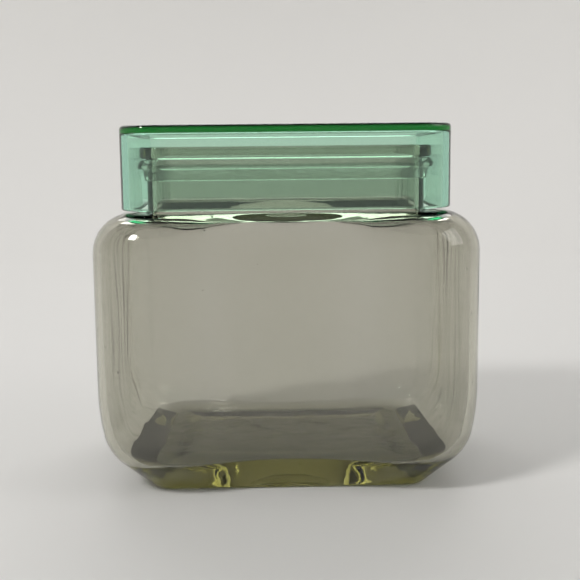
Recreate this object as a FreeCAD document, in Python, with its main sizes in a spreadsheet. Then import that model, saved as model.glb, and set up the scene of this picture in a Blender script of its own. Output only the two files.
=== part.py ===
"""A rectangular glass storage jar with a push-over lid: glass jar, soft neck seal and one-piece lid.

Millimetres, +Z up, +X along the wide side, the front at -Y. The origin is the middle of the foot's underside.
"""

import FreeCAD
import Part
import math
import os
import Sketcher

DOCUMENT = FreeCAD.newDocument("StorageJar")
UP = FreeCAD.Vector(0, 0, 1)
START, END = 1, 2
CENTRE = 3
ORIGIN = (-1, 1)

# ---------------------------------------------------------------- driving dimensions

SIZES = {
    # the glass body at its widest, between heel and shoulder
    "body_width": 152,
    "body_depth": 118,
    "body_corner": 24,
    "body_pinch": 10,  # how far the middle of the front and back is drawn in
    "bulge_place": 0.66,  # where the front bulges most, as a share of the half width
    "bulge_share": 0.33,  # the bulge's radius as a share of bulge and waist radius together
    # the straight-sided foot and the bevelled heel above it
    "foot_width": 109,
    "foot_depth": 84,
    "foot_corner": 8,
    "heel_radius": 18,
    "bevel_angle": 50,  # degrees off the vertical
    "floor_height": 13,
    "push_up": 1.5,
    "push_up_margin": 7,
    # the shoulder, a quarter ellipse that ends in a straight-sided crown
    "shoulder_start": 94.4,
    "shoulder_rise": 16,
    "crown_width": 122,
    "crown_depth": 94,
    "crown_corner": 13,
    "guard_step": 5,  # between the two levels that hold a loft upright where it meets the wall
    "glass_wall": 3.5,
    # the neck and the bead round its mouth
    "neck_width": 109,
    "neck_depth": 79.3,
    "neck_corner": 8,
    "bead_reach": 3,
    "bead_height": 4.6,
    "bead_round": 1.2,
    "jar_height": 135.8,
    # the soft seal stretched round the neck under the bead
    "seal_gap": 0.4,
    "seal_height": 8,
    "seal_wall": 0.9,
    "fin_reach": 3.9,
    "fin_height": 3.5,
    # the lid
    "lid_width": 128.5,
    "lid_depth": 98,
    "lid_corner": 14,
    "lid_wall": 3,
    "lid_bottom": 111.6,
    "lid_top": 144,
    "lid_round": 1.8,
    "lid_rim_round": 1,
    "lid_inner_round": 1,
}

SHEET = DOCUMENT.addObject("Spreadsheet::Sheet", "Sizes")
for row, (alias, value) in enumerate(SIZES.items(), start=1):
    SHEET.set(f"A{row}", alias)
    SHEET.set(f"B{row}", str(value))
    SHEET.setAlias(f"B{row}", alias)
DOCUMENT.recompute()


# ---------------------------------------------------------------- helpers


def new_body(name):
    body = DOCUMENT.addObject("PartDesign::Body", name)
    body.Label = name
    return body


def origin_plane(body, role):
    return next(plane for plane in body.Origin.OriginFeatures if plane.Role == role)


def new_sketch(body, name, role="XY_Plane", height=None):
    """A sketch on one of its body's origin planes, raised by an expression."""
    sketch = body.newObject("Sketcher::SketchObject", name)
    sketch.AttachmentSupport = [(origin_plane(body, role), "")]
    sketch.MapMode = "FlatFace"
    if height:
        sketch.setExpression("AttachmentOffset.Base.z", height)
    return sketch


def own_sizes(sketch, expressions):
    """Gives a sketch numbers of its own, each worked out from the sheet."""
    for title, expression in expressions.items():
        sketch.addProperty("App::PropertyFloat", title, "Outline")
        sketch.setExpression(title, expression)
    DOCUMENT.recompute()


def drive(sketch, constraint, expression):
    """Adds a dimension and binds it to an expression."""
    index = sketch.addConstraint(constraint)
    sketch.setExpression(f"Constraints[{index}]", expression)


def arc(x, y, radius, first, last):
    """A sketch arc, counterclockwise between two angles in degrees."""
    circle = Part.Circle(FreeCAD.Vector(x, y, 0), UP, radius)
    return Part.ArcOfCircle(circle, math.radians(first), math.radians(last))


def line(x0, y0, x1, y1):
    return Part.LineSegment(FreeCAD.Vector(x0, y0, 0), FreeCAD.Vector(x1, y1, 0))


def pinched_outline(sketch):
    """A rounded rectangle whose front and back each have two bulges with a shallow waist between them."""
    half_width, half_depth, corner = sketch.HalfWidth, sketch.HalfDepth, sketch.Corner
    bulge_x, bulge, reach = sketch.BulgeX, sketch.Bulge, sketch.Reach
    bulge_y = half_depth - bulge
    waist_y = bulge_y + math.sqrt(reach**2 - bulge_x**2)
    inner = math.degrees(math.asin(bulge_x / reach))
    outer = math.degrees(math.asin((half_width - corner - bulge_x) / (bulge - corner)))
    corner_x = half_width - corner
    corner_y = bulge_y + (bulge - corner) * math.cos(math.radians(outer))
    edges = [
        line(half_width, -corner_y, half_width, corner_y),
        arc(corner_x, corner_y, corner, 0, 90 - outer),
        arc(bulge_x, bulge_y, bulge, 90 - outer, 90 + inner),
        arc(0, waist_y, reach - bulge, 270 - inner, 270 + inner),
        arc(-bulge_x, bulge_y, bulge, 90 - inner, 90 + outer),
        arc(-corner_x, corner_y, corner, 90 + outer, 180),
        line(-half_width, corner_y, -half_width, -corner_y),
        arc(-corner_x, -corner_y, corner, 180, 270 - outer),
        arc(-bulge_x, -bulge_y, bulge, 270 - outer, 270 + inner),
        arc(0, -waist_y, reach - bulge, 90 - inner, 90 + inner),
        arc(bulge_x, -bulge_y, bulge, 270 - inner, 270 + outer),
        arc(corner_x, -corner_y, corner, 270 + outer, 360),
    ]
    sketch.addGeometry(edges, False)
    waists, bulges, corners = (3, 9), (2, 4, 8, 10), (1, 5, 7, 11)
    for this in range(12):
        following = (this + 1) % 12
        leaves = START if this in waists else END
        enters = END if following in waists else START
        sketch.addConstraint(Sketcher.Constraint("Tangent", this, leaves, following, enters))
    for side in (0, 6):
        sketch.addConstraint(Sketcher.Constraint("Vertical", side))
    drive(sketch, Sketcher.Constraint("DistanceX", *ORIGIN, 0, START, half_width), "HalfWidth")
    drive(sketch, Sketcher.Constraint("DistanceX", 6, START, *ORIGIN, half_width), "HalfWidth")
    for edge in corners:
        drive(sketch, Sketcher.Constraint("Radius", edge, corner), "Corner")
    for edge in bulges:
        drive(sketch, Sketcher.Constraint("Radius", edge, bulge), "Bulge")
    for edge in waists:
        sketch.addConstraint(Sketcher.Constraint("PointOnObject", edge, CENTRE, -2))
        drive(sketch, Sketcher.Constraint("Radius", edge, reach - bulge), "Reach - Bulge")
    rise = "HalfDepth - Bulge + sqrt(Reach ^ 2 - BulgeX ^ 2)"
    drive(sketch, Sketcher.Constraint("DistanceY", *ORIGIN, 3, CENTRE, waist_y), rise)
    drive(sketch, Sketcher.Constraint("DistanceY", 9, CENTRE, *ORIGIN, waist_y), rise)
    for edge in (2, 10):
        drive(sketch, Sketcher.Constraint("DistanceX", *ORIGIN, edge, CENTRE, bulge_x), "BulgeX")
    for edge in (4, 8):
        drive(sketch, Sketcher.Constraint("DistanceX", edge, CENTRE, *ORIGIN, bulge_x), "BulgeX")


def straight_outline(sketch):
    """A rounded rectangle with the front and back in three straight pieces, to match the pinched outline."""
    half_width, half_depth, corner = sketch.HalfWidth, sketch.HalfDepth, sketch.Corner
    split = sketch.Split
    corner_x, corner_y = half_width - corner, half_depth - corner
    edges = [
        line(half_width, -corner_y, half_width, corner_y),
        arc(corner_x, corner_y, corner, 0, 90),
        line(corner_x, half_depth, split, half_depth),
        line(split, half_depth, -split, half_depth),
        line(-split, half_depth, -corner_x, half_depth),
        arc(-corner_x, corner_y, corner, 90, 180),
        line(-half_width, corner_y, -half_width, -corner_y),
        arc(-corner_x, -corner_y, corner, 180, 270),
        line(-corner_x, -half_depth, -split, -half_depth),
        line(-split, -half_depth, split, -half_depth),
        line(split, -half_depth, corner_x, -half_depth),
        arc(corner_x, -corner_y, corner, 270, 360),
    ]
    sketch.addGeometry(edges, False)
    corners = (1, 5, 7, 11)
    for this in range(12):
        following = (this + 1) % 12
        kind = "Tangent" if this in corners or following in corners else "Coincident"
        sketch.addConstraint(Sketcher.Constraint(kind, this, END, following, START))
    for side in (0, 6):
        sketch.addConstraint(Sketcher.Constraint("Vertical", side))
    for side in (2, 3, 4, 8, 9, 10):
        sketch.addConstraint(Sketcher.Constraint("Horizontal", side))
    for edge in corners:
        drive(sketch, Sketcher.Constraint("Radius", edge, corner), "Corner")
    drive(sketch, Sketcher.Constraint("DistanceX", *ORIGIN, 0, START, half_width), "HalfWidth")
    drive(sketch, Sketcher.Constraint("DistanceX", 6, START, *ORIGIN, half_width), "HalfWidth")
    drive(sketch, Sketcher.Constraint("DistanceY", *ORIGIN, 3, START, half_depth), "HalfDepth")
    drive(sketch, Sketcher.Constraint("DistanceY", 9, START, *ORIGIN, half_depth), "HalfDepth")
    for edge, point in ((3, START), (9, END)):
        drive(sketch, Sketcher.Constraint("DistanceX", *ORIGIN, edge, point, split), "Split")
    for edge, point in ((3, END), (9, START)):
        drive(sketch, Sketcher.Constraint("DistanceX", edge, point, *ORIGIN, split), "Split")


def rounded_rectangle(sketch, width, depth, corner):
    """A plain rounded rectangle about the origin, its three sizes given as expressions."""
    own_sizes(sketch, {"HalfWidth": f"({width}) / 2", "HalfDepth": f"({depth}) / 2", "Corner": corner})
    half_width, half_depth, radius = sketch.HalfWidth, sketch.HalfDepth, sketch.Corner
    corner_x, corner_y = half_width - radius, half_depth - radius
    first = sketch.GeometryCount
    edges = [
        line(half_width, -corner_y, half_width, corner_y),
        arc(corner_x, corner_y, radius, 0, 90),
        line(corner_x, half_depth, -corner_x, half_depth),
        arc(-corner_x, corner_y, radius, 90, 180),
        line(-half_width, corner_y, -half_width, -corner_y),
        arc(-corner_x, -corner_y, radius, 180, 270),
        line(-corner_x, -half_depth, corner_x, -half_depth),
        arc(corner_x, -corner_y, radius, 270, 360),
    ]
    sketch.addGeometry(edges, False)
    for this in range(8):
        following = first + (this + 1) % 8
        sketch.addConstraint(Sketcher.Constraint("Tangent", first + this, END, following, START))
    for side, kind in ((0, "Vertical"), (2, "Horizontal"), (4, "Vertical"), (6, "Horizontal")):
        sketch.addConstraint(Sketcher.Constraint(kind, first + side))
    for edge in (1, 3, 5, 7):
        drive(sketch, Sketcher.Constraint("Radius", first + edge, radius), "Corner")
    right, back, left, front = first, first + 2, first + 4, first + 6
    drive(sketch, Sketcher.Constraint("DistanceX", *ORIGIN, right, START, half_width), "HalfWidth")
    drive(sketch, Sketcher.Constraint("DistanceX", left, START, *ORIGIN, half_width), "HalfWidth")
    drive(sketch, Sketcher.Constraint("DistanceY", *ORIGIN, back, START, half_depth), "HalfDepth")
    drive(sketch, Sketcher.Constraint("DistanceY", front, START, *ORIGIN, half_depth), "HalfDepth")


def jar_section(body, name, height, share="0", toward="foot", near="0", far="0"):
    """One level of the glass: part of the way from the body's outline to the foot's or the crown's.

    near and far are how much smaller than the outside the two outlines are, as on the inner face.
    """
    sketch = new_sketch(body, name, height=height)

    def mixed(size, scale):
        body_size = f"(Sizes.body_{size} / {scale} - {near})"
        other_size = f"(Sizes.{toward}_{size} / {scale} - {far})"
        return f"{body_size} * (1 - {share}) + {other_size} * ({share})"

    own_sizes(
        sketch,
        {
            "HalfWidth": mixed("width", 2),
            "HalfDepth": mixed("depth", 2),
            "Corner": mixed("corner", 1),
            "BulgeX": "HalfWidth * Sizes.bulge_place",
            "Pinch": f"Sizes.body_pinch * (1 - {share})",
            "Split": "BulgeX * (1 - Sizes.bulge_share)",
        },
    )
    if sketch.Pinch < 0.01:
        straight_outline(sketch)
        return sketch
    own_sizes(
        sketch,
        {
            "Reach": "(BulgeX ^ 2 + Pinch ^ 2) / (2 * Pinch)",
            "Bulge": "Reach * Sizes.bulge_share",
        },
    )
    pinched_outline(sketch)
    return sketch


def loft(body, name, sections, kind="AdditiveLoft", ruled=False):
    feature = body.newObject(f"PartDesign::{kind}", name)
    feature.Profile = sections[0]
    feature.Sections = sections[1:]
    feature.Ruled = ruled
    return feature


def pad(body, name, sketch, length, reverse=False):
    feature = body.newObject("PartDesign::Pad", name)
    feature.Profile = sketch
    feature.Reversed = reverse
    feature.setExpression("Length", length)
    return feature


def edges_where(feature, test):
    """The names of a feature's edges whose bounding box passes a test."""
    DOCUMENT.recompute()
    found = [
        f"Edge{number}"
        for number, edge in enumerate(feature.Shape.Edges, start=1)
        if test(edge.BoundBox)
    ]
    if not found:
        raise RuntimeError(f"{feature.Label}: no edge found")
    return found


def dress(body, name, kind, base, edges, expression):
    """A fillet or chamfer on some edges of the feature below it."""
    feature = body.newObject(f"PartDesign::{kind}", name)
    feature.Base = (base, edges)
    feature.setExpression("Radius" if kind == "Fillet" else "Size", expression)
    return feature


def level_at(height, tolerance=0.01):
    """A test for edges that lie flat at one height."""
    return lambda box: abs(box.ZMin - height) < tolerance and abs(box.ZMax - height) < tolerance


# ---------------------------------------------------------------- the glass jar

HEEL_INSET = "((Sizes.body_width - Sizes.foot_width) / 2)"
BEVEL_HEIGHT = (
    f"(({HEEL_INSET} - Sizes.heel_radius * (1 - cos(Sizes.bevel_angle))) / tan(Sizes.bevel_angle))"
)
HEEL_TOP = f"({BEVEL_HEIGHT} + Sizes.heel_radius * sin(Sizes.bevel_angle))"
HEEL_STEPS = 4
SHOULDER_STEPS = 6


def heel_levels(body, wall):
    """Levels up the arc from the bevel to the wall, then guard levels that keep the loft upright."""
    radius = f"(Sizes.heel_radius - {wall})"
    levels = []
    for step in range(HEEL_STEPS, -1, -1):
        angle = f"(Sizes.bevel_angle * {step / HEEL_STEPS})"
        share = f"({radius} * (1 - cos({angle})) / {HEEL_INSET})"
        height = f"{HEEL_TOP} - {radius} * sin({angle})"
        levels.append(jar_section(body, f"{body.Name}_heel_{step}", height, share, near=wall, far=wall))
    for guard in (1, 2):
        height = f"{HEEL_TOP} + {guard} * Sizes.guard_step"
        levels.append(jar_section(body, f"{body.Name}_low_wall_{guard}", height, near=wall, far=wall))
    return levels


def shoulder_levels(body, wall):
    """Two levels at the top of the wall, then levels up the quarter ellipse to the crown."""
    levels = []
    for guard in (2, 1):
        height = f"Sizes.shoulder_start - {guard} * Sizes.guard_step"
        levels.append(jar_section(body, f"{body.Name}_high_wall_{guard}", height, near=wall))
    for step in range(SHOULDER_STEPS + 1):
        angle = f"({90 * step / SHOULDER_STEPS})"
        share = f"(1 - cos({angle}))"
        height = f"Sizes.shoulder_start + (Sizes.shoulder_rise - {wall}) * sin({angle})"
        name = f"{body.Name}_shoulder_{step}"
        levels.append(jar_section(body, name, height, share, toward="crown", near=wall))
    return levels


def jar_form(body, lowest, wall):
    """The jar's closed form in one body: bevel, heel, upright wall and shoulder."""
    heel, shoulder = heel_levels(body, wall), shoulder_levels(body, wall)
    loft(body, f"{body.Name}_bevel", [lowest, heel[0]], ruled=True)
    loft(body, f"{body.Name}_heel", heel)
    gap = f"Sizes.shoulder_start - {HEEL_TOP} - 4 * Sizes.guard_step"
    pad(body, f"{body.Name}_wall", heel[-1], gap)
    loft(body, f"{body.Name}_shoulder", shoulder)


def jar_outside():
    body = new_body("jar_outside")
    jar_form(body, jar_section(body, "foot_outline", "0", share="1"), "0")
    neck_sketch = new_sketch(body, "neck_outline", height="Sizes.shoulder_start")
    rounded_rectangle(neck_sketch, "Sizes.neck_width", "Sizes.neck_depth", "Sizes.neck_corner")
    pad(body, "neck", neck_sketch, "Sizes.jar_height - Sizes.shoulder_start")
    bead_sketch = new_sketch(body, "bead_outline", height="Sizes.jar_height - Sizes.bead_height")
    rounded_rectangle(
        bead_sketch,
        "Sizes.neck_width + 2 * Sizes.bead_reach",
        "Sizes.neck_depth + 2 * Sizes.bead_reach",
        "Sizes.neck_corner + Sizes.bead_reach",
    )
    bead = pad(body, "bead", bead_sketch, "Sizes.bead_height")
    at_top = level_at(SIZES["jar_height"])
    at_underside = level_at(SIZES["jar_height"] - SIZES["bead_height"])
    inner_x, inner_y = SIZES["neck_width"] / 2 + 0.1, SIZES["neck_depth"] / 2 + 0.1

    def on_bead_edge(box):
        beyond_neck = max(-box.XMin, box.XMax) > inner_x or max(-box.YMin, box.YMax) > inner_y
        return beyond_neck and (at_top(box) or at_underside(box))

    dress(body, "bead_round", "Fillet", bead, edges_where(bead, on_bead_edge), "Sizes.bead_round")
    return body


def jar_inside():
    """The space in the jar, with its mouth."""
    body = new_body("jar_inside")
    wall = "Sizes.glass_wall"
    radius = f"(Sizes.heel_radius - {wall})"
    turned_in = f"{radius} * (1 - cos(Sizes.bevel_angle))"
    drop = f"({HEEL_TOP} - {radius} * sin(Sizes.bevel_angle) - Sizes.floor_height)"
    share = f"(({turned_in} + {drop} * tan(Sizes.bevel_angle)) / {HEEL_INSET})"
    floor = jar_section(body, "floor_outline", "Sizes.floor_height", share, near=wall, far=wall)
    jar_form(body, floor, wall)
    mouth_sketch = new_sketch(body, "mouth_outline", height="Sizes.shoulder_start")
    rounded_rectangle(
        mouth_sketch,
        f"Sizes.neck_width - 2 * {wall}",
        f"Sizes.neck_depth - 2 * {wall}",
        f"Sizes.neck_corner - {wall}",
    )
    pad(body, "mouth", mouth_sketch, "Sizes.jar_height - Sizes.shoulder_start + 1")
    return body


def push_up():
    """The hollow under the foot, a low frustum."""
    body = new_body("push_up")
    sections = []
    for name, height, margin in (("rim", "0", 1), ("roof", "Sizes.push_up", 2)):
        sketch = new_sketch(body, f"push_up_{name}", height=height)
        rounded_rectangle(
            sketch,
            f"Sizes.foot_width - 2 * Sizes.push_up_margin * {margin}",
            f"Sizes.foot_depth - 2 * Sizes.push_up_margin * {margin}",
            "Sizes.foot_corner",
        )
        sections.append(sketch)
    loft(body, "hollow", sections, ruled=True)
    return body


def glass_jar():
    outside, inside, hollow = jar_outside(), jar_inside(), push_up()
    emptied = DOCUMENT.addObject("Part::Cut", "emptied")
    emptied.Base = outside
    emptied.Tool = inside
    jar = DOCUMENT.addObject("Part::Cut", "glass_jar")
    jar.Label = "glass_jar"
    jar.Base = emptied
    jar.Tool = hollow
    return jar


# ---------------------------------------------------------------- the seal


def neck_seal():
    """A clear sleeve round the neck with an outward fin at its top, swept round the neck's outline."""
    body = new_body("neck_seal")
    path = new_sketch(body, "seal_path", height="Sizes.jar_height - Sizes.bead_height - Sizes.seal_gap")
    rounded_rectangle(path, "Sizes.neck_width", "Sizes.neck_depth", "Sizes.neck_corner")
    profile = new_sketch(body, "seal_profile", role="XZ_Plane")
    top = "Sizes.jar_height - Sizes.bead_height - Sizes.seal_gap"
    own_sizes(
        profile,
        {
            "Inner": "Sizes.neck_width / 2",
            "Wall": "Sizes.seal_wall",
            "Reach": "Sizes.fin_reach",
            "Top": top,
            "Fin": "Sizes.fin_height",
            "Tall": "Sizes.seal_height",
        },
    )
    inner, wall, reach = profile.Inner, profile.Wall, profile.Reach
    upper, fin, tall = profile.Top, profile.Fin, profile.Tall
    shoulder, tip, under = 0.68, 0.6, 0.92
    corners = [
        (inner, upper - tall, "Inner", "Top - Tall"),
        (inner + wall, upper - tall, "Inner + Wall", "Top - Tall"),
        (inner + 2 * wall, upper - fin, "Inner + 2 * Wall", "Top - Fin"),
        (inner + reach * under, upper - fin, f"Inner + Reach * {under}", "Top - Fin"),
        (inner + reach, upper - fin * tip, "Inner + Reach", f"Top - Fin * {tip}"),
        (inner + reach * shoulder, upper, f"Inner + Reach * {shoulder}", "Top"),
        (inner, upper, "Inner", "Top"),
    ]
    count = len(corners)
    for this in range(count):
        x0, z0 = corners[this][:2]
        x1, z1 = corners[(this + 1) % count][:2]
        profile.addGeometry(line(x0, z0, x1, z1), False)
    for this, (x, z, across, up) in enumerate(corners):
        before = (this - 1) % count
        profile.addConstraint(Sketcher.Constraint("Coincident", before, END, this, START))
        drive(profile, Sketcher.Constraint("DistanceX", *ORIGIN, this, START, x), across)
        drive(profile, Sketcher.Constraint("DistanceY", *ORIGIN, this, START, z), up)
    sweep = body.newObject("PartDesign::AdditivePipe", "seal_ring")
    sweep.Profile = profile
    sweep.Spine = path
    sweep.Transition = "Transformed"
    return body


# ---------------------------------------------------------------- the lid


def lid():
    body = new_body("lid")
    outer = new_sketch(body, "lid_outline", height="Sizes.lid_bottom")
    rounded_rectangle(outer, "Sizes.lid_width", "Sizes.lid_depth", "Sizes.lid_corner")
    block = pad(body, "block", outer, "Sizes.lid_top - Sizes.lid_bottom")
    top_edges = edges_where(block, level_at(SIZES["lid_top"]))
    rounded = dress(body, "top_round", "Fillet", block, top_edges, "Sizes.lid_round")
    rim_edges = edges_where(rounded, level_at(SIZES["lid_bottom"]))
    rim = dress(body, "rim_round", "Fillet", rounded, rim_edges, "Sizes.lid_rim_round")
    inner = new_sketch(body, "lid_hollow_outline", height="Sizes.lid_bottom")
    rounded_rectangle(
        inner,
        "Sizes.lid_width - 2 * Sizes.lid_wall",
        "Sizes.lid_depth - 2 * Sizes.lid_wall",
        "Sizes.lid_corner - Sizes.lid_wall",
    )
    DOCUMENT.recompute()
    solid = rim.Shape.Volume
    hollow = body.newObject("PartDesign::Pocket", "lid_hollow")
    hollow.Profile = inner
    hollow.Reversed = True
    hollow.setExpression("Length", "Sizes.lid_top - Sizes.lid_bottom - Sizes.lid_wall")
    roof = level_at(SIZES["lid_top"] - SIZES["lid_wall"])
    roof_edges = edges_where(hollow, roof)
    if hollow.Shape.Volume > solid / 2:
        raise RuntimeError("the lid's hollow cut too little")
    dress(body, "roof_round", "Fillet", hollow, roof_edges, "Sizes.lid_inner_round")
    return body


# ---------------------------------------------------------------- build, check, write

PIECES = (glass_jar(), neck_seal(), lid())
DOCUMENT.recompute()

for item in DOCUMENT.Objects:
    if "Invalid" in item.State or "Error" in item.State:
        raise RuntimeError(f"{item.Label}: {item.State}")
for piece in PIECES:
    if piece.Shape.isNull() or not piece.Shape.isValid() or len(piece.Shape.Solids) != 1:
        raise RuntimeError(f"{piece.Label}: the shape is not one valid solid")

os.makedirs("parts", exist_ok=True)
for piece in PIECES:
    piece.Shape.exportStep(os.path.join("parts", f"{piece.Label}.step"))
    box = piece.Shape.BoundBox
    print(
        f"{piece.Label}: {box.XLength:.1f} x {box.YLength:.1f} x {box.ZLength:.1f} mm,"
        f" z {box.ZMin:.1f} to {box.ZMax:.1f}, {piece.Shape.Volume / 1000:.1f} cm3"
    )
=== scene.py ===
"""The looks of a rectangular glass storage jar: pressed glass, a soft clear seal and a green acrylic lid.

Lengths are in metres. Each piece is a skin laid over a list of levels. A level is a rounded outline at a
height, and one list runs up the outside of the piece, over its lip and down the inside.
"""

import bpy
import math
import numpy as np
from mathutils import Matrix, Vector


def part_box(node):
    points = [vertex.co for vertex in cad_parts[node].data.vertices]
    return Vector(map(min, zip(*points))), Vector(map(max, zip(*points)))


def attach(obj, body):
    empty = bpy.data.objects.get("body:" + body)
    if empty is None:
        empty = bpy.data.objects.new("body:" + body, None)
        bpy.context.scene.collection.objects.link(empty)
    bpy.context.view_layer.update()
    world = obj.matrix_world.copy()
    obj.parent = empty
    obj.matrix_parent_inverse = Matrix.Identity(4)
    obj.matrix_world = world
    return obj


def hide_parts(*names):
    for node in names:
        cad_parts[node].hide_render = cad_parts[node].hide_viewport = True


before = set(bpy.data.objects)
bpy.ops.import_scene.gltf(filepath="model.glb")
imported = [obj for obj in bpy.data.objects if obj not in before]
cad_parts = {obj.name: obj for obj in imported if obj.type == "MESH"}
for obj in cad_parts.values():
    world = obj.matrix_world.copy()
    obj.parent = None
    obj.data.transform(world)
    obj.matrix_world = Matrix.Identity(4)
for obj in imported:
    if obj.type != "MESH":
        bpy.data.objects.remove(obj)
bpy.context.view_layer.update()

MM = 0.001

# ---------------------------------------------------------------- sizes, from the frame where it gives them

JAR_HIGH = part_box("glass_jar")[1]
LID_LOW, LID_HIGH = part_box("lid")
SEAL_LOW, SEAL_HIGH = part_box("neck_seal")

# an outline is half its width, half its depth, its corner radius, and how far its front and back are drawn in
BODY_PINCH = 10 * MM
BODY = np.array([JAR_HIGH.x, 59 * MM, 24 * MM, BODY_PINCH])
FOOT = np.array([54.5 * MM, 42 * MM, 8 * MM, 0])
CROWN = np.array([61 * MM, 47 * MM, 13 * MM, 0])
NECK = np.array([54.5 * MM, 39.65 * MM, 8 * MM, 0])
LID = np.array([LID_HIGH.x, LID_HIGH.y, 14 * MM, 0])
SMALLER = np.array([1, 1, 1, 0])  # what an inset takes off an outline

BULGE_PLACE = 0.66  # where the front bulges most, as a share of the half width
BULGE_SHARE = 0.33  # the bulge's radius as a share of bulge and waist radius together
LEAST_PINCH = 0.02 * MM
LEAST_CORNER = 0.6 * MM

GLASS_WALL = 3.5 * MM
FLOOR_TOP = 13 * MM
FLOOR_ROUND = 4 * MM
FLAT_HALF_DEPTH = 3 * MM  # of the small outline that closes the middle of a flat stretch
PUSH_UP = 1.5 * MM
PUSH_UP_MARGIN = 7 * MM
PUSH_UP_ROUND = 4 * MM
PUSH_UP_RIM_ROUND = 3 * MM
FOOT_ROUND = 2 * MM
LEAN_RADIUS = 90 * MM  # the slow curve that leads the upright wall into the heel
LEAN_ANGLE = math.radians(11.5)
HEEL_RADIUS = 20 * MM
BEVEL_ANGLE = math.radians(50)  # off the vertical
SHOULDER_START = 94.4 * MM
SHOULDER_RISE = 16 * MM
BEAD_REACH = 3 * MM
BEAD_HEIGHT = 4.6 * MM
BEAD_ROUND = 1.3 * MM
CROWN_ROUND = 2 * MM  # from the crown into the neck, outside
BEAD_UNDERCUT_ROUND = 0.8 * MM
NECK_INNER_ROUND = 2.5 * MM

LID_WALL = 3 * MM
LID_ROUND = 1.8 * MM
LID_RIM_ROUND = 1 * MM
LID_INNER_RIM_ROUND = 0.5 * MM
LID_INNER_ROUND = 1 * MM

# ---------------------------------------------------------------- outlines, levels and skins

ARC_STEPS = {"side": 6, "corner": 18, "bulge": 20, "waist": 9}


def arc(centre_x, centre_y, radius, first, last, steps):
    """Points along an arc between two angles, without its last point."""
    angles = first + (last - first) * np.arange(steps) / steps
    return np.column_stack([centre_x + radius * np.cos(angles), centre_y + radius * np.sin(angles)])


def loop_of(level):
    """The points of one level, anticlockwise from the +X axis."""
    half_width, half_depth, corner, pinch, height = level
    pinch = max(pinch, LEAST_PINCH)
    corner = max(corner, LEAST_CORNER)
    bulge_x = half_width * BULGE_PLACE
    reach = (bulge_x**2 + pinch**2) / (2 * pinch)
    bulge = reach * BULGE_SHARE
    bulge_y = half_depth - bulge
    waist_y = bulge_y + math.sqrt(reach**2 - bulge_x**2)
    inner = math.asin(bulge_x / reach)
    outer = math.asin((half_width - corner - bulge_x) / (bulge - corner))
    corner_y = bulge_y + (bulge - corner) * math.cos(outer)
    upright = math.pi / 2
    side = np.column_stack(
        [
            np.full(ARC_STEPS["side"], half_width),
            corner_y * np.arange(ARC_STEPS["side"]) / ARC_STEPS["side"],
        ]
    )
    quarter = np.concatenate(
        [
            side,
            arc(half_width - corner, corner_y, corner, 0, upright - outer, ARC_STEPS["corner"]),
            arc(bulge_x, bulge_y, bulge, upright - outer, upright + inner, ARC_STEPS["bulge"]),
            arc(0, waist_y, reach - bulge, inner - upright, -upright, ARC_STEPS["waist"]),
            [[0, waist_y - (reach - bulge)]],
        ]
    )
    half = np.concatenate([quarter, quarter[-2::-1] * (-1, 1)])
    whole = np.concatenate([half, half[-2:0:-1] * (1, -1)])
    return np.column_stack([whole, np.full(len(whole), height)])


def level(outline, height, inset=0.0):
    return np.append(outline - inset * SMALLER, height)


def between(first, last, steps):
    """Levels from one to another in even steps, without the last."""
    return [first + (last - first) * step / steps for step in range(steps)]


def rounded(before, corner, after, radius, steps=8):
    """Levels that round off a corner between two flat stretches."""
    def toward(end):
        way = end - corner
        run = math.hypot(way[0], way[4])
        return corner + way * min(radius / run, 0.49)

    start, end = toward(before), toward(after)
    shares = np.arange(steps + 1) / steps
    return [(1 - t) ** 2 * start + 2 * t * (1 - t) * corner + t**2 * end for t in shares]


def path_of(corners, radii, steps=6, round_steps=8):
    """Levels along straight stretches between corner levels, with each corner but the ends rounded."""
    stops = [corners[0]]
    levels = []
    for before, corner, after, radius in zip(corners, corners[1:], corners[2:], radii):
        curve = rounded(before, corner, after, radius, round_steps)
        levels += between(stops[-1], curve[0], steps)
        levels += curve[:-1]
        stops.append(curve[-1])
    levels += between(stops[-1], corners[-1], steps)
    levels.append(corners[-1])
    return levels


def skin(name, levels, closed_ends=True):
    """A mesh over a list of levels. The ends are filled, or joined to each other."""
    loops = [loop_of(one) for one in levels]
    count = len(loops[0])
    points = np.concatenate(loops)
    faces = []
    rows = len(loops) if not closed_ends else len(loops) - 1
    for row in range(rows):
        here, there = row * count, ((row + 1) % len(loops)) * count
        for this in range(count):
            following = (this + 1) % count
            faces.append((here + this, here + following, there + following, there + this))
    if closed_ends:
        faces.append(tuple(reversed(range(count))))
        faces.append(tuple(range((len(loops) - 1) * count, len(loops) * count)))
    mesh = bpy.data.meshes.new(name)
    mesh.from_pydata(points.tolist(), [], faces)
    mesh.validate()
    mesh.update()
    mesh.shade_smooth()
    piece = bpy.data.objects.new(name, mesh)
    bpy.context.scene.collection.objects.link(piece)
    return piece


# ---------------------------------------------------------------- the glass jar


def mixed(other, share, height, near=0.0, far=0.0):
    """A level part of the way from the body's outline to another."""
    return (1 - share) * level(BODY, height, near) + share * level(other, height, far)


HEEL_INSET = BODY[0] - FOOT[0]
LEAN_INSET = LEAN_RADIUS * (1 - math.cos(LEAN_ANGLE))
TURN_INSET = HEEL_RADIUS * (math.cos(LEAN_ANGLE) - math.cos(BEVEL_ANGLE))
BEVEL_HEIGHT = (HEEL_INSET - LEAN_INSET - TURN_INSET) / math.tan(BEVEL_ANGLE)
TURN_TOP = BEVEL_HEIGHT + HEEL_RADIUS * (math.sin(BEVEL_ANGLE) - math.sin(LEAN_ANGLE))
HEEL_TOP = TURN_TOP + LEAN_RADIUS * math.sin(LEAN_ANGLE)


TURN_STEPS = 19
LEAN_STEPS = 11


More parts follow.
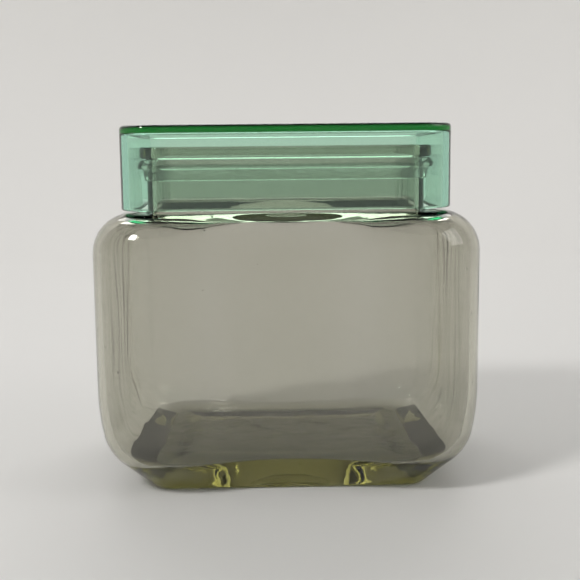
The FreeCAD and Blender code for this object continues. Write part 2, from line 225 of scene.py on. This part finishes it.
def heel(wall):
    """The tight turn and the slow curve from the bevel to the upright wall, going up."""
    levels = []
    for angle in np.linspace(BEVEL_ANGLE, LEAN_ANGLE, TURN_STEPS + 1)[:-1]:
        radius = HEEL_RADIUS - wall
        inset = LEAN_INSET + HEEL_RADIUS * math.cos(LEAN_ANGLE) - wall - radius * math.cos(angle)
        height = TURN_TOP + HEEL_RADIUS * math.sin(LEAN_ANGLE) - radius * math.sin(angle)
        levels.append(mixed(FOOT, inset / HEEL_INSET, height, wall, wall))
    for angle in np.linspace(LEAN_ANGLE, 0, LEAN_STEPS + 1):
        radius = LEAN_RADIUS - wall
        inset = radius * (1 - math.cos(angle))
        levels.append(mixed(FOOT, inset / HEEL_INSET, HEEL_TOP - radius * math.sin(angle), wall, wall))
    return levels


SHOULDER_STEPS = 32


def shoulder(wall):
    """The quarter ellipse from the upright wall to the crown, going up."""
    angles = math.pi / 2 * np.arange(SHOULDER_STEPS + 1) / SHOULDER_STEPS
    rise = SHOULDER_RISE - wall
    return [
        mixed(CROWN, 1 - math.cos(a), SHOULDER_START + rise * math.sin(a), wall) for a in angles
    ]


OUTER_WALL_STEPS = 20
INNER_WALL_STEPS = 14


def jar_levels():
    """Up the outside from the middle of the underside, over the bead and down to the middle of the floor."""
    foot_inset = FOOT[1] - FLAT_HALF_DEPTH
    top = JAR_HIGH.z
    crown_height = SHOULDER_START + SHOULDER_RISE
    outer_heel, inner_heel = heel(0), heel(GLASS_WALL)
    outer_shoulder, inner_shoulder = shoulder(0), shoulder(GLASS_WALL)
    underside = path_of(
        [
            level(FOOT, PUSH_UP, foot_inset),
            level(FOOT, PUSH_UP, 2 * PUSH_UP_MARGIN),
            level(FOOT, 0, PUSH_UP_MARGIN),
            level(FOOT, 0, 0),
            outer_heel[0],
        ],
        [PUSH_UP_ROUND, PUSH_UP_RIM_ROUND, FOOT_ROUND],
    )
    rim = path_of(
        [
            outer_shoulder[-1],
            level(NECK, crown_height),
            level(NECK, top - BEAD_HEIGHT),
            level(NECK, top - BEAD_HEIGHT, -BEAD_REACH),
            level(NECK, top, -BEAD_REACH),
            level(NECK, top, GLASS_WALL),
            level(NECK, crown_height - GLASS_WALL, GLASS_WALL),
            inner_shoulder[-1],
        ],
        [CROWN_ROUND, BEAD_UNDERCUT_ROUND, BEAD_ROUND, BEAD_ROUND, BEAD_ROUND, NECK_INNER_ROUND],
    )
    run = inner_heel[0] - inner_heel[1]
    floor_edge = inner_heel[0] + run * (FLOOR_TOP - inner_heel[0][4]) / run[4]
    cavity = between(inner_shoulder[0], inner_heel[-1], INNER_WALL_STEPS) + inner_heel[:0:-1] + path_of(
        [
            inner_heel[0],
            floor_edge,
            level(FOOT, FLOOR_TOP, foot_inset),
        ],
        [FLOOR_ROUND],
        steps=8,
        round_steps=10,
    )
    return (
        underside[:-1]
        + outer_heel[:-1]
        + between(outer_heel[-1], outer_shoulder[0], OUTER_WALL_STEPS)
        + outer_shoulder[:-1]
        + rim
        + inner_shoulder[-2:0:-1]
        + cavity
    )


# ---------------------------------------------------------------- the seal

SEAL_AIR = 0.05 * MM
SEAL_WALL = 0.9 * MM
FIN_REACH = SEAL_HIGH.x - NECK[0]
FIN_HEIGHT = 3.5 * MM
SEAL_ROUND = 0.4 * MM


def seal_levels():
    """Once round the section: up the outside of the sleeve, round the fin and back down the bore."""
    low, high = SEAL_LOW.z, SEAL_HIGH.z
    corners = [
        level(NECK, low, -SEAL_AIR),
        level(NECK, low, -SEAL_WALL),
        level(NECK, high - FIN_HEIGHT, -2 * SEAL_WALL),
        level(NECK, high - FIN_HEIGHT, -FIN_REACH * 0.92),
        level(NECK, high - FIN_HEIGHT * 0.6, -FIN_REACH),
        level(NECK, high, -FIN_REACH * 0.68),
        level(NECK, high, -SEAL_AIR),
    ]
    levels = []
    count = len(corners)
    for this, corner in enumerate(corners):
        levels += rounded(corners[this - 1], corner, corners[(this + 1) % count], SEAL_ROUND, 4)
    return levels


# ---------------------------------------------------------------- the lid


def lid_levels():
    """From the middle of the plate's underside, down inside, round the rim and up over the outside."""
    low, high = LID_LOW.z, LID_HIGH.z
    middle = LID[1] - FLAT_HALF_DEPTH
    return path_of(
        [
            level(LID, high, middle),
            level(LID, high, 0),
            level(LID, low, 0),
            level(LID, low, LID_WALL),
            level(LID, high - LID_WALL, LID_WALL),
            level(LID, high - LID_WALL, middle),
        ],
        [LID_ROUND, LID_RIM_ROUND, LID_INNER_RIM_ROUND, LID_INNER_ROUND],
        steps=10,
    )[::-1]


# ---------------------------------------------------------------- materials


def new_material(name):
    material = bpy.data.materials.new(name)
    material.use_nodes = True
    tree = material.node_tree
    return material, tree, tree.nodes["Principled BSDF"], tree.nodes["Material Output"]


def absorb(tree, output, per_mm):
    """Fills a material with a colour that deepens with distance, per millimetre of red, green and blue."""
    volume = tree.nodes.new("ShaderNodeVolumeAbsorption")
    strongest = max(per_mm)
    volume.inputs["Color"].default_value = (*[1 - one / strongest for one in per_mm], 1)
    volume.inputs["Density"].default_value = strongest / MM
    tree.links.new(volume.outputs["Volume"], output.inputs["Volume"])


def bumped(tree, height, depth, below=None):
    """A bump from a height between 0 and 1, on top of another bump if one is given."""
    bump = tree.nodes.new("ShaderNodeBump")
    bump.inputs["Distance"].default_value = depth
    tree.links.new(height, bump.inputs["Height"])
    if below:
        tree.links.new(below.outputs["Normal"], bump.inputs["Normal"])
    return bump


def waves(tree, across, along, detail, depth, below=None):
    """Soft uneven waves. They run along the Z axis where along is smaller than across."""
    place = tree.nodes.new("ShaderNodeTexCoord")
    stretch = tree.nodes.new("ShaderNodeMapping")
    stretch.inputs["Scale"].default_value = (across, across, along)
    pattern = tree.nodes.new("ShaderNodeTexNoise")
    pattern.inputs["Scale"].default_value = 1
    pattern.inputs["Detail"].default_value = detail
    tree.links.new(place.outputs["Object"], stretch.inputs["Vector"])
    tree.links.new(stretch.outputs["Vector"], pattern.inputs["Vector"])
    return bumped(tree, pattern.outputs["Fac"], depth, below)


def seeds(tree, scale, reach, depth, below):
    """Small round pits, one to each cell of a loose grid."""
    place = tree.nodes.new("ShaderNodeTexCoord")
    cells = tree.nodes.new("ShaderNodeTexVoronoi")
    cells.inputs["Scale"].default_value = scale
    pit = tree.nodes.new("ShaderNodeMapRange")
    pit.inputs["From Max"].default_value = reach
    tree.links.new(place.outputs["Object"], cells.inputs["Vector"])
    tree.links.new(cells.outputs["Distance"], pit.inputs["Value"])
    return bumped(tree, pit.outputs["Result"], depth, below)


def clear_material(name, tint_and_painted_shade, roughness, ior, per_mm):
    """A see-through material. A colour is taken at each surface and the rest of the colour in the depth; for
    the glass that surface colour is mostly a painted shade that greys all that is seen through it, with a
    slight warm cast of the glass's own.
    """
    material, tree, shader, output = new_material(name)
    shader.inputs["Base Color"].default_value = (*tint_and_painted_shade, 1)
    shader.inputs["Roughness"].default_value = roughness
    shader.inputs["IOR"].default_value = ior
    shader.inputs["Transmission Weight"].default_value = 1
    absorb(tree, output, per_mm)
    return material, tree, shader


def glass_material():
    # The surface colour (0.74, 0.735, 0.71) is mostly painted shade: it darkens everything seen through the
    # jar at each surface, and only its slight warm cast is the glass's own colour.
    material, tree, shader = clear_material(
        "pressed_glass", tint_and_painted_shade=(0.74, 0.735, 0.71), roughness=0, ior=1.52, per_mm=(0.018, 0.0184, 0.032)
    )
    streaks = waves(tree, across=70, along=9, detail=2, depth=0.35 * MM)
    surface = seeds(tree, scale=110, reach=0.06, depth=0.25 * MM, below=streaks)
    tree.links.new(surface.outputs["Normal"], shader.inputs["Normal"])
    return material


def acrylic_material():
    material, tree, shader = clear_material(
        "green_acrylic", tint_and_painted_shade=(0.97, 0.96, 0.92), roughness=0, ior=1.49, per_mm=(0.095, 0.016, 0.040)
    )
    surface = waves(tree, across=900, along=60, detail=2, depth=0.004 * MM)
    tree.links.new(surface.outputs["Normal"], shader.inputs["Normal"])
    return material


def seal_material():
    material, tree, shader = clear_material(
        "soft_clear_vinyl", tint_and_painted_shade=(0.96, 0.97, 0.95), roughness=0.12, ior=1.5, per_mm=(0.03, 0.025, 0.035)
    )
    surface = waves(tree, across=400, along=400, detail=2, depth=0.08 * MM)
    tree.links.new(surface.outputs["Normal"], shader.inputs["Normal"])
    return material


# ---------------------------------------------------------------- pieces


def place(name, levels, material, node, body, slot, closed_ends=True):
    """Makes a piece that rides a body in place of a node of the frame."""
    piece = skin(name, levels, closed_ends)
    piece.data.materials.append(material)
    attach(piece, body)
    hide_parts(node)
    return piece


place("jar_glass", jar_levels(), glass_material(), "glass_jar", "jar", "glass")
place("seal_ring", seal_levels(), seal_material(), "neck_seal", "jar", "clear_seal", closed_ends=False)
place("lid_shell", lid_levels(), acrylic_material(), "lid", "lid", "green_acrylic")

# ---------------------------------------------------------------- stage, light and camera

FLOOR_GAP = 0.05 * MM
FLOOR_REACH = 0.8
SWEEP_RADIUS = 0.5
SWEEP_WALL = 1.2
SWEEP_STEPS = 24
FLOOR_RINGS = 15
FLOOR_RING_STEP = 0.05
FLOOR_SPOKES = 96


def pale_floor():
    """A floor that sweeps up into a wall all the way round."""
    turns = np.linspace(0, math.pi / 2, SWEEP_STEPS + 1)
    profile = [(FLOOR_RING_STEP * ring, 0) for ring in range(1, FLOOR_RINGS + 1)]
    profile += [(FLOOR_REACH + SWEEP_RADIUS * math.sin(t), SWEEP_RADIUS * (1 - math.cos(t))) for t in turns]
    profile.append((FLOOR_REACH + SWEEP_RADIUS, SWEEP_WALL))
    points = [(0, 0, -FLOOR_GAP)]
    for reach, height in profile:
        for step in range(FLOOR_SPOKES):
            angle = 2 * math.pi * step / FLOOR_SPOKES
            points.append((reach * math.cos(angle), reach * math.sin(angle), height - FLOOR_GAP))
    faces = [(0, 1 + step, 1 + (step + 1) % FLOOR_SPOKES) for step in range(FLOOR_SPOKES)]
    for row in range(len(profile) - 1):
        here, there = 1 + row * FLOOR_SPOKES, 1 + (row + 1) * FLOOR_SPOKES
        for step in range(FLOOR_SPOKES):
            following = (step + 1) % FLOOR_SPOKES
            faces.append((here + step, there + step, there + following, here + following))
    mesh = bpy.data.meshes.new("floor")
    mesh.from_pydata(points, [], faces)
    mesh.shade_smooth()
    floor = bpy.data.objects.new("floor", mesh)
    bpy.context.scene.collection.objects.link(floor)
    material, tree, shader, output = new_material("floor")
    shader.inputs["Base Color"].default_value = (0.72, 0.71, 0.69, 1)
    shader.inputs["Roughness"].default_value = 0.7
    floor.data.materials.append(material)


def softbox(name, place_at, aim, size, watts):
    """A rectangular area light that faces a point."""
    light = bpy.data.lights.new(name, "AREA")
    light.shape = "RECTANGLE"
    light.size, light.size_y = size
    light.energy = watts
    lamp = bpy.data.objects.new(name, light)
    lamp.location = place_at
    lamp.rotation_euler = (Vector(aim) - Vector(place_at)).to_track_quat("-Z", "Y").to_euler()
    bpy.context.scene.collection.objects.link(lamp)


def studio_air():
    """A world that is palest at the horizon and greyer overhead."""
    world = bpy.data.worlds.new("studio")
    bpy.context.scene.world = world
    world.use_nodes = True
    tree = world.node_tree
    background = tree.nodes["Background"]
    place_on_sky = tree.nodes.new("ShaderNodeTexCoord")
    split = tree.nodes.new("ShaderNodeSeparateXYZ")
    ramp = tree.nodes.new("ShaderNodeValToRGB")
    ramp.color_ramp.elements[0].position = 0.0
    ramp.color_ramp.elements[0].color = (0.37, 0.362, 0.348, 1)
    ramp.color_ramp.elements[1].position = 0.9
    ramp.color_ramp.elements[1].color = (0.20, 0.20, 0.20, 1)
    tree.links.new(place_on_sky.outputs["Generated"], split.inputs["Vector"])
    tree.links.new(split.outputs["Z"], ramp.inputs["Fac"])
    tree.links.new(ramp.outputs["Color"], background.inputs["Color"])
    background.inputs["Strength"].default_value = 1.0


CAMERA_DISTANCE = 0.420  # level, from the jar's axis
CAMERA_HEIGHT = 0.1346
CAMERA_SIDE = math.radians(1.04)  # round to the left of the jar
CAMERA_YAW = math.radians(1.3)  # turned to the right
CAMERA_PITCH = math.radians(8.2)  # down
CAMERA_ROLL = math.radians(0.6)  # right side down
FIELD_OF_VIEW = math.radians(32.969)


def camera():
    data = bpy.data.cameras.new("camera")
    data.angle = FIELD_OF_VIEW
    view = bpy.data.objects.new("camera", data)
    bpy.context.scene.collection.objects.link(view)
    forward = Vector(
        (
            math.sin(CAMERA_YAW) * math.cos(CAMERA_PITCH),
            math.cos(CAMERA_YAW) * math.cos(CAMERA_PITCH),
            -math.sin(CAMERA_PITCH),
        )
    )
    level_right = forward.cross(Vector((0, 0, 1))).normalized()
    level_up = level_right.cross(forward)
    right = level_right * math.cos(CAMERA_ROLL) - level_up * math.sin(CAMERA_ROLL)
    up = level_up * math.cos(CAMERA_ROLL) + level_right * math.sin(CAMERA_ROLL)
    turn = Matrix((right, up, -forward)).transposed()
    view.matrix_world = Matrix.Translation(
        (-CAMERA_DISTANCE * math.sin(CAMERA_SIDE), -CAMERA_DISTANCE * math.cos(CAMERA_SIDE), CAMERA_HEIGHT)
    ) @ turn.to_4x4()
    bpy.context.scene.camera = view


pale_floor()
studio_air()
softbox("key", (-0.7, -0.6, 0.9), (0, 0, 0.07), (0.22, 0.22), 7)
softbox("fill", (0.9, -0.3, 0.6), (0, 0, 0.07), (0.6, 0.6), 2.0)
softbox("back", (0.0, 0.9, 1.0), (0, 0.1, 0), (1.4, 0.6), 7)
camera()
bpy.context.scene.view_settings.view_transform = "Standard"
